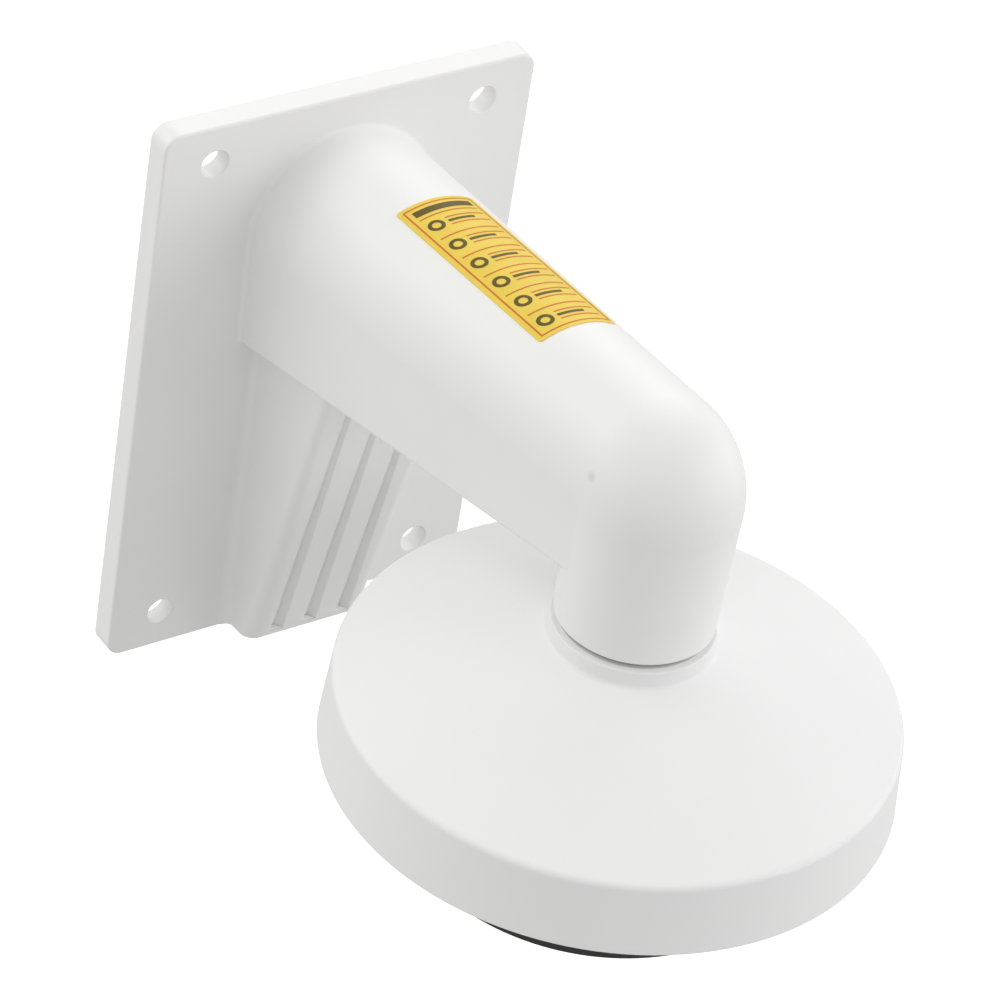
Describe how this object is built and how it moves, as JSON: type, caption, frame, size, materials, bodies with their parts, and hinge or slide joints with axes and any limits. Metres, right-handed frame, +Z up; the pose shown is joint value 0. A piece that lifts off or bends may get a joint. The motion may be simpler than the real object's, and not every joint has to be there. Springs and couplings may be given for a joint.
{
  "type": "camera wall bracket",
  "caption": "White cast wall bracket: rectangular screw plate, hollow rising arm with ribbed gusset, spout turned down, shallow conical cap and black round camera adapter below it.",
  "frame": {"origin": "centre of the wall plate's back face, which is also the centre of its four screw holes", "axes": "+X to the right seen from the room, +Y into the wall, +Z up; the arm reaches towards -Y"},
  "size_m": [0.1578, 0.2446, 0.184],
  "materials": {
    "white_coating": "satin powder coat on cast aluminium",
    "white_coating_cap": "satin powder coat on cast aluminium",
    "grey_rubber": "matte",
    "black_plastic": "fine matte grain",
    "screw_steel": "bright zinc",
    "dark_steel": "black oxide",
    "yellow_label": "satin print"
  },
  "bodies": {
    "root": {"bracket_casting": "white_coating", "camera_cap": "white_coating_cap", "spout_seal": "grey_rubber", "camera_adapter": "black_plastic", "adapter_screw_1": "screw_steel", "adapter_screw_2": "screw_steel", "adapter_screw_3": "screw_steel", "grub_screw": "dark_steel", "arm_label": "yellow_label"}
  },
  "joints": []
}
